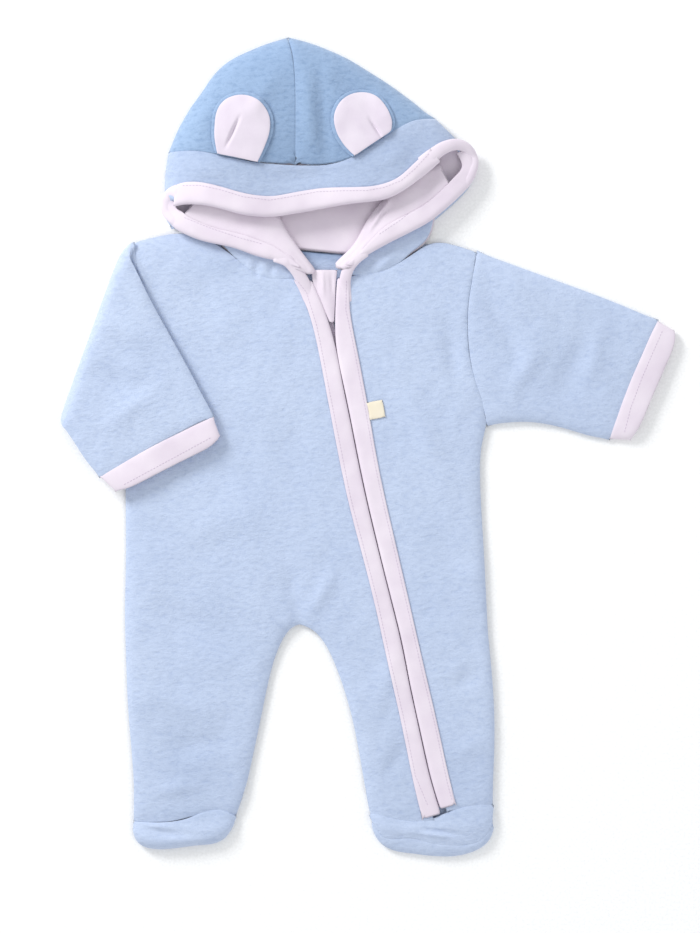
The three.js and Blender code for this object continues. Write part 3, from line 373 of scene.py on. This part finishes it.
def shell(node):
    """The node's wall as a finely divided, rounded shell with its creases."""
    mesh = frame["nodes"][node].data.copy()
    mesh.name = f"cloth_{node}"
    mesh.materials.clear()
    work = bmesh.new()
    work.from_mesh(mesh)
    bmesh.ops.remove_doubles(work, verts=work.verts, dist=WELD)
    bmesh.ops.join_triangles(
        work, faces=work.faces, angle_face_threshold=FLAT_ENOUGH, angle_shape_threshold=SHAPE_ENOUGH
    )
    keep = work.verts.layers.float.new("crease_vert")
    for vert in work.verts:
        rim = [e for e in vert.link_edges if len(e.link_faces) == 2 and e.calc_face_angle(0) > RIM]
        ways = [(e.other_vert(vert).co - vert.co).normalized() for e in rim]
        turns = [math.pi - a.angle(b, 0) for i, a in enumerate(ways) for b in ways[i + 1 :]]
        if len(rim) >= 3 and turns and min(turns) > CORNER:
            vert[keep] = 1.0
    work.to_mesh(mesh)
    work.free()
    piece = bpy.data.objects.new(f"cloth_{node}", mesh)
    bpy.context.scene.collection.objects.link(piece)
    rounding = piece.modifiers.new("rounding", "SUBSURF")
    fine = node.startswith(("front", "sleeve", "ear"))
    rounding.levels = rounding.render_levels = FINE if fine else COARSE
    bpy.context.view_layer.objects.active = piece
    bpy.ops.object.modifier_apply(modifier="rounding")
    let_out = next((LET_OUT[start] for start in LET_OUT if node.startswith(start)), LET_OUT_ELSEWHERE)
    for vert, normal in zip(piece.data.vertices, [v.normal.copy() for v in piece.data.vertices]):
        vert.co.x += normal.x * let_out * MM
        vert.co.y += normal.y * let_out * MM
    if node not in PLAIN:
        for vert in piece.data.vertices:
            x, y = vert.co.x / MM + BODY_X, vert.co.y / MM + BODY_Y
            low = node.startswith("sleeve_right") and vert.co.z < SLEEVE_UNDERSIDE * MM
            reach = 0.0 if low else min(1.0, max(0.0, (vert.co.z / MM - CREASE_FLOOR) / CREASE_FULL))
            vert.co.z += reach * (crease_height(x, y) + drift(x, y)) * MM
    for polygon in piece.data.polygons:
        polygon.use_smooth = True
    piece.data.materials.append(FINISHES[SLOT_OF[node]])
    # painted shade and tone, kept on the shell's points
    painted_shade_and_tone = piece.data.color_attributes.new("painted_shade_and_tone", "FLOAT_COLOR", "POINT")
    for vert in piece.data.vertices:
        painted_shade_and_tone.data[vert.index].color = painted_shade_and_tone_at(node, vert.co.x / MM + BODY_X, vert.co.y / MM + BODY_Y)
    return piece


shells = {}
for node, (width, length, area, held) in CUTS.items():
    piece = shell(node)
    shells[node] = piece
    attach(piece, "root")
    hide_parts(node)

for node in ("zip_slider", "zip_chain"):
    solid = frame["nodes"][node]
    solid.data.materials.clear()
    solid.data.materials.append(FINISHES[SLOT_OF[node]])


# ---- bindings that run on, stitches and zip teeth ----
CLEAR_ABOVE = 60  # a height over every piece


def top_of(nodes):
    """A function that gives the upper surface's height over a point, on the named pieces."""
    meshes = [shells[node].data for node in nodes]
    trees = [
        BVHTree.FromPolygons([v.co for v in mesh.vertices], [p.vertices[:] for p in mesh.polygons])
        for mesh in meshes
    ]

    def height(x, y):
        start = place(x, y, CLEAR_ABOVE)
        hits = [tree.ray_cast(start, -UP)[0] for tree in trees]
        heights = [hit.z for hit in hits if hit]
        return max(heights) if heights else None

    return height


def skin(work, rings, smooth=False):
    """Faces over a row of rings of points, closed at both ends; returns the rings' vertices."""
    rings = [[work.verts.new(point) for point in ring] for ring in rings]
    sides = len(rings[0])
    for a, b in zip(rings, rings[1:]):
        for i in range(sides):
            face = work.faces.new((a[i], a[(i + 1) % sides], b[(i + 1) % sides], b[i]))
            face.smooth = smooth
    work.faces.new(rings[0][::-1])
    work.faces.new(rings[-1])
    return rings


def ellipse(middle, across, up, sides):
    """Points round a middle; across and up are its half axes."""
    turns = [math.tau * i / sides for i in range(sides)]
    return [middle + across * math.cos(turn) + up * math.sin(turn) for turn in turns]


def capsule(work, centre, along, length, radius):
    """A short thread, as a six-sided spindle."""
    along = along.normalized()
    across = along.cross(UP).normalized()
    up = across.cross(along)
    skin(work, [
        ellipse(centre + along * length * share, across * radius * scale, up * radius * scale, 6)
        for share, scale in ((-0.5, 0.35), (-0.3, 1.0), (0.3, 1.0), (0.5, 0.35))
    ])


def along_line(points, step):
    """Points at even steps along a polyline, each with its direction."""
    left = step / 2
    for (ax, ay), (bx, by) in zip(points, points[1:]):
        length = math.hypot(bx - ax, by - ay)
        dx, dy = (bx - ax) / length, (by - ay) / length
        while left < length:
            yield ax + dx * left, ay + dy * left, dx, dy
            left += step
        left -= length


def add_trim(name, work, finish):
    """A small piece that stands for no node, from its bmesh."""
    mesh = bpy.data.meshes.new(name)
    work.to_mesh(mesh)
    work.free()
    piece = bpy.data.objects.new(name, mesh)
    bpy.context.scene.collection.objects.link(piece)
    piece.data.materials.append(finish)
    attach(piece, "root")


# where one binding runs on into the next: the piece that takes it, the pieces it spans, half width,
# thickness, and the points of its middle line
TURNS = [
    ("binding_rim", ("binding_rim", "binding_side_left"), (7.6, 4.2), 2.2, [
        (-96, 539.5), (-104, 539.5), (-109.5, 536.5), (-112, 531), (-111, 525), (-106, 519), (-99, 514)]),
    ("binding_rim", ("binding_rim", "binding_side_right"), (6.2, 4.2), 2.2, [
        (96, 562.5), (105, 569.5), (115, 576.5), (125, 579.5), (133.5, 577), (138.5, 570), (139, 562),
        (135, 552), (130, 545)]),
    ("binding_zip_left", ("binding_zip_left", "binding_side_left"), (5.8, 5.0), 1.8, [
        (6, 451), (3, 461), (-1, 470), (-6, 478), (-13, 485), (-24, 489)]),
    ("binding_zip_right", ("binding_zip_right", "binding_side_right"), (4.8, 4.6), 1.8, [
        (36, 450), (34.5, 463), (35, 472), (38, 480), (44, 487), (52, 493)]),
]


TURN_STEPS, TURN_SIDES = 5, 16  # between two points, and round the section
TURN_PROUD = 0.5  # above the surface under it
TURN_SINK = 2.2  # how far its ends go down


def curve_point(points, step):
    """A point of the Catmull-Rom curve through points, a number of steps from its start."""
    k = min(step // TURN_STEPS, len(points) - 2)
    t = step / TURN_STEPS - k
    stations = points[max(k - 1, 0)], points[k], points[k + 1], points[min(k + 2, len(points) - 1)]
    return k + t, [
        0.5 * (2 * a + (b - p) * t + (2 * p - 5 * a + 4 * b - q) * t**2 + (3 * a - p - 3 * b + q) * t**3)
        for p, a, b, q in zip(*stations)
    ]


def add_turn(node, nodes, halves, thick, points):
    """Adds a soft length of binding to a piece, over the tops of the pieces that it joins."""
    height = top_of(nodes)
    found = [(i, height(x, y)) for i, (x, y) in enumerate(points)]
    found = [(i, z) for i, z in found if z is not None]
    curve = []
    for step in range((len(points) - 1) * TURN_STEPS + 1):
        at, (x, y) = curve_point(points, step)
        low = max([pair for pair in found if pair[0] <= at], default=found[0])
        high = min([pair for pair in found if pair[0] >= at], default=found[-1])
        share = (at - low[0]) / (high[0] - low[0]) if high[0] > low[0] else 0.0
        curve.append(place(x, y, (low[1] + (high[1] - low[1]) * share) / MM - thick + TURN_PROUD))
    last = len(curve) - 1
    rings = []
    for i, middle in enumerate(curve):
        ahead = (curve[min(i + 1, last)] - curve[max(i - 1, 0)]).normalized()
        across = ahead.cross(UP).normalized()
        ends = min(1.0, 0.4 + 0.12 * min(i, last - i))
        half = halves[0] + (halves[1] - halves[0]) * min(1.0, 2 * i / len(curve))
        scale = (ends if i in (0, last) else 1.0) * MM
        sunk = middle - UP * TURN_SINK * (1 - ends) * MM
        rings.append(ellipse(sunk, across * half * scale, UP * thick * scale, TURN_SIDES))
    work = bmesh.new()
    work.from_mesh(shells[node].data)
    # the painted shade and tone layer; the run-on bindings take none
    layer = work.verts.layers.float_color["painted_shade_and_tone"]
    for ring in skin(work, rings, smooth=True):
        for vert in ring:
            vert[layer] = (1, 1, 1, 1)
    work.to_mesh(shells[node].data)
    work.free()


for row in TURNS:
    add_turn(*row)

# a stitch's own sizes in mm
STITCH = {"pitch": 2.7, "length": 1.9, "radius": 0.22, "proud": 0.02}
# name, pieces under it, the row's line
STITCH_ROWS = [
    ("zip_left", ["binding_zip_left"], [
        (102, 40), (92, 64), (82, 113), (72, 156), (60.5, 209), (49.6, 251), (39, 291), (22, 377),
        (15, 414), (11, 433), (3, 459), (-4, 468)]),
    ("zip_right", ["binding_zip_right"], [
        (122, 44), (118, 58), (108, 105), (98, 146.5), (84, 207.5), (75.5, 244.5), (67, 280.5), (59.4, 315.5),
        (50, 369.5), (41, 417), (35, 445), (35.5, 469)]),
    ("rim", ["binding_rim"], [
        (-98, 545.5), (-84, 545.5), (-68, 542), (-48, 536), (-27, 533.5), (-12, 536), (12, 540.5),
        (33, 541), (52, 541), (66, 543.5), (80, 549), (91, 558.5), (103, 571.5)]),
    ("side_left", ["binding_side_left"], [(-97, 520), (-76, 511.5), (-52, 503.5), (-32, 498)]),
    ("side_right", ["binding_side_right"], [(62, 506), (80, 518), (93, 529), (108, 543), (119, 555)]),
    ("cuff_right", ["cuff_right"], [(294, 428), (286, 410), (277, 389), (268, 365), (263, 345)]),
    ("cuff_left", ["cuff_left"], [(-146, 302), (-122, 315), (-100, 327), (-74, 341)]),
]


def stitches(name, nodes, points):
    """A row of threads that lie on the named pieces."""
    work = bmesh.new()
    height = top_of(nodes)
    for x, y, dx, dy in along_line(points, STITCH["pitch"]):
        z = height(x, y)
        if z is not None:
            centre = place(x, y)
            centre.z = z + STITCH["proud"] * MM
            capsule(work, centre, Vector((dx, dy, 0)), STITCH["length"] * MM, STITCH["radius"] * MM)
    add_trim(f"stitches_{name}", work, thread)


thread = jersey("thread", "#cfc2d3", "#c3b5c8", takes_painted_shade_and_tone=False)
for name, nodes, points in STITCH_ROWS:
    stitches(name, nodes, points)

# the teeth stand across this line, by turns to one side and the other
ZIP_LINE = [
    (113, 38), (110, 42), (105, 58), (100, 80), (95, 105), (90, 125), (85, 150), (80, 178),
    (72, 208), (62.6, 246), (53.4, 284), (45, 323), (39, 355), (31.9, 388), (24, 430), (21, 444),
]
TOOTH = {"pitch": 1.5, "width": 1.7, "radius": 0.42, "height": 4.15, "aside": 0.35}
work = bmesh.new()
for number, (x, y, dx, dy) in enumerate(along_line(ZIP_LINE, TOOTH["pitch"])):
    side = TOOTH["aside"] if number % 2 else -TOOTH["aside"]
    centre = place(x - dy * side, y + dx * side, TOOTH["height"])
    capsule(work, centre, Vector((-dy, dx, 0)), TOOTH["width"] * MM, TOOTH["radius"] * MM)
add_trim("zip_teeth", work, FINISHES["zip_nylon"])


# ---- floor, light and camera ----
FLOOR_SIZE, FLOOR_CLEAR = 8, 0.0002
bpy.ops.mesh.primitive_plane_add(size=FLOOR_SIZE, location=(0, 0, -FLOOR_CLEAR))
floor = bpy.context.object
floor.name = "floor"
floor.data.materials.append(smooth_plastic("floor_white", "#ffffff", 0.9))

world = bpy.data.worlds.new("studio")
bpy.context.scene.world = world
world.use_nodes = True
world.node_tree.nodes["Background"].inputs["Color"].default_value = (0.96, 0.98, 1.0, 1.0)
world.node_tree.nodes["Background"].inputs["Strength"].default_value = 0.73
bpy.context.scene.view_settings.view_transform = "Standard"


def lamp(name, location, size, power):
    light = bpy.data.lights.new(name, "AREA")
    light.size = size
    light.energy = power
    lamp_object = bpy.data.objects.new(name, light)
    lamp_object.location = location
    lamp_object.rotation_euler = (-Vector(location)).to_track_quat("-Z", "Y").to_euler()
    bpy.context.scene.collection.objects.link(lamp_object)


lamp("key", (-1.7, 1.6, 1.2), 0.8, 48)
lamp("fill", (1.2, -1.0, 2.2), 1.6, 10)

CAMERA_HEIGHT = 2.5
VIEW_CENTRE = (38.5, 316.9)  # middle of the picture, in the garment's axes
VIEW_TALL = 765.1  # height of the surface that the picture takes in
camera = bpy.data.cameras.new("camera")
camera.sensor_width = 36
camera.lens = camera.sensor_width * CAMERA_HEIGHT / (VIEW_TALL * MM)
eye = bpy.data.objects.new("camera", camera)
eye.location = place(*VIEW_CENTRE, CAMERA_HEIGHT / MM)
bpy.context.scene.collection.objects.link(eye)
bpy.context.scene.camera = eye
